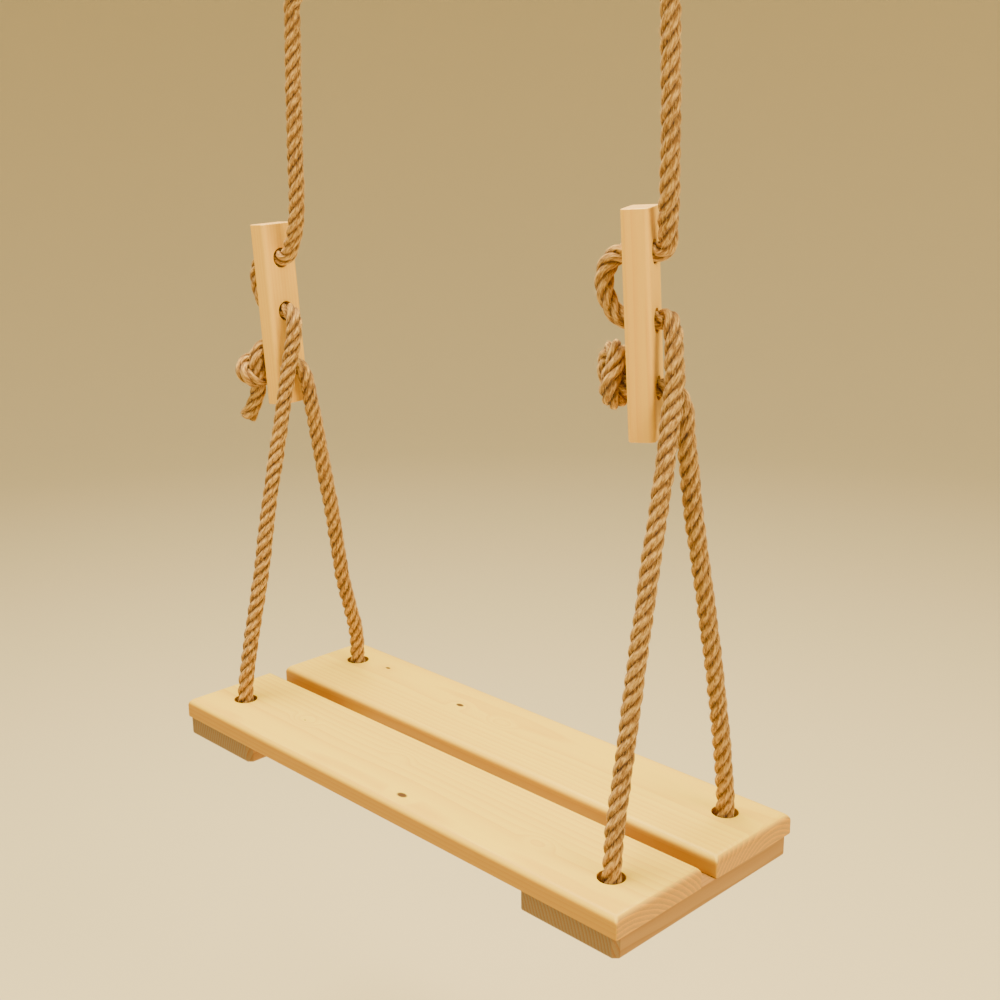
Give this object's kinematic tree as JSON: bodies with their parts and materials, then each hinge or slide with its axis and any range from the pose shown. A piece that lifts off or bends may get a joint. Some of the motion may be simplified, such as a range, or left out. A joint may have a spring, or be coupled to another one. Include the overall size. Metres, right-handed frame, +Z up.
{
  "type": "porch swing",
  "caption": "Slatted pine swing seat hung on two twisted natural-fibre ropes with three-hole wooden length adjusters and steel ceiling brackets.",
  "frame": {"origin": "half way between the two ceiling brackets, in the plane of their plates' top faces", "axes": "+X along the seat from left to right, +Y from the seat's front to its rear, +Z up; the swing turns about a line along X"},
  "size_m": [0.5665, 0.218, 0.8627],
  "materials": {
    "plank_pine": "planed pine, satin, bare",
    "batten_pine": "planed pine, satin, bare",
    "adjuster_pine": "planed pine, satin, bare",
    "jute_rope": "twisted natural fibre, matt and hairy",
    "binding_twine": "twisted natural fibre twine, matt",
    "zinc_steel": "zinc plated, satin",
    "screw_steel": "zinc plated, satin"
  },
  "bodies": {
    "ceiling": {"left_ceiling_bracket": "zinc_steel", "left_pivot_bolt": "zinc_steel", "left_pivot_nut": "zinc_steel", "left_plate_screw_left": "zinc_steel", "left_plate_screw_right": "zinc_steel", "right_ceiling_bracket": "zinc_steel", "right_pivot_bolt": "zinc_steel", "right_pivot_nut": "zinc_steel", "right_plate_screw_left": "zinc_steel", "right_plate_screw_right": "zinc_steel"},
    "ropes": {"left_thimble": "zinc_steel", "left_eye_seizing": "binding_twine", "left_eye_rope": "jute_rope", "left_upper_rope": "jute_rope", "right_thimble": "zinc_steel", "right_eye_seizing": "binding_twine", "right_eye_rope": "jute_rope", "right_upper_rope": "jute_rope"},
    "adjusters": {"left_adjuster": "adjuster_pine", "left_stopper_knot": "jute_rope", "left_knot_tail": "jute_rope", "left_back_loop": "jute_rope", "left_front_strand": "jute_rope", "left_rear_strand": "jute_rope", "right_adjuster": "adjuster_pine", "right_stopper_knot": "jute_rope", "right_knot_tail": "jute_rope", "right_back_loop": "jute_rope", "right_front_strand": "jute_rope", "right_rear_strand": "jute_rope"},
    "seat": {"front_plank": "plank_pine", "rear_plank": "plank_pine", "left_batten": "batten_pine", "left_under_seat_rope": "jute_rope", "left_front_screw_1": "screw_steel", "left_front_screw_2": "screw_steel", "left_rear_screw_1": "screw_steel", "left_rear_screw_2": "screw_steel", "right_batten": "batten_pine", "right_under_seat_rope": "jute_rope", "right_front_screw_1": "screw_steel", "right_front_screw_2": "screw_steel", "right_rear_screw_1": "screw_steel", "right_rear_screw_2": "screw_steel"}
  },
  "joints": [
    {"name": "swing", "type": "hinge", "parent": "ceiling", "child": "ropes", "pos_m": [0, 0, -0.04], "axis": [1, 0, 0], "range_deg": [-40, 40]},
    {"name": "adjust_height", "type": "slide", "parent": "ropes", "child": "adjusters", "axis": [0, 0, 1], "range_m": [-0.12, 0.1], "deforming": ["left_upper_rope", "right_upper_rope"]},
    {"name": "seat_follows", "type": "slide", "parent": "adjusters", "child": "seat", "axis": [0, 0, 1], "range_m": [-0.05, 0.06], "deforming": ["left_front_strand", "left_rear_strand", "right_front_strand", "right_rear_strand"]}
  ],
  "couplings": [
    {"joint": "seat_follows", "follows": "adjust_height", "ratio": -0.5}
  ]
}
